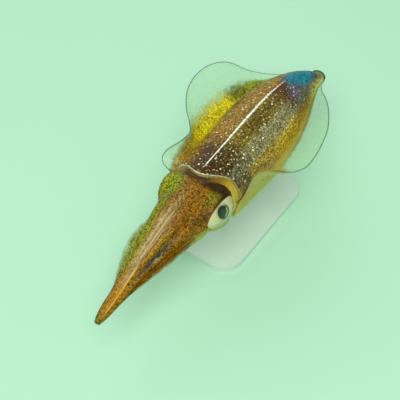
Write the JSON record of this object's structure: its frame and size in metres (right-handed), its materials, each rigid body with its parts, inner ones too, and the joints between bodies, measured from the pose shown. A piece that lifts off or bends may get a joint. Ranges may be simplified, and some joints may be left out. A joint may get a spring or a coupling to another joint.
{
  "type": "caribbean reef squid",
  "caption": "Life-size still model of a reef squid swimming level, with wide waving fins, large eyes and arms held together, on a plain display stand.",
  "frame": {"origin": "on the floor, under the middle of the model's bounding box", "axes": "the head and arms point to -X and the tail to +X, the squid's left side is -Y, its back is +Z"},
  "size_m": [0.2884, 0.12, 0.0983],
  "materials": {
    "mantle_skin": "wet brown skin with pale flecks",
    "fin_skin": "thin clear skin",
    "head_skin": "wet orange-brown skin",
    "eye": "cream iris, glossy",
    "funnel_skin": "pale skin",
    "arm_skin": "wet amber-brown skin",
    "tentacle_skin": "pale skin",
    "stand": "plain pale grey"
  },
  "bodies": {
    "root": {"mantle": "mantle_skin", "fin_left": "fin_skin", "fin_right": "fin_skin", "head": "head_skin", "eye_left": "eye", "eye_right": "eye", "funnel": "funnel_skin", "arm_dorsal_left": "arm_skin", "arm_dorsal_right": "arm_skin", "arm_dorsolateral_left": "arm_skin", "arm_dorsolateral_right": "arm_skin", "arm_lateral_left": "arm_skin", "arm_lateral_right": "arm_skin", "arm_ventral_left": "arm_skin", "arm_ventral_right": "arm_skin", "tentacle_left_stalk": "tentacle_skin", "tentacle_left_club": "tentacle_skin", "tentacle_right_stalk": "tentacle_skin", "tentacle_right_club": "tentacle_skin", "stand_base": "stand", "stand_rod_front": "stand", "stand_rod_rear": "stand"}
  },
  "joints": []
}
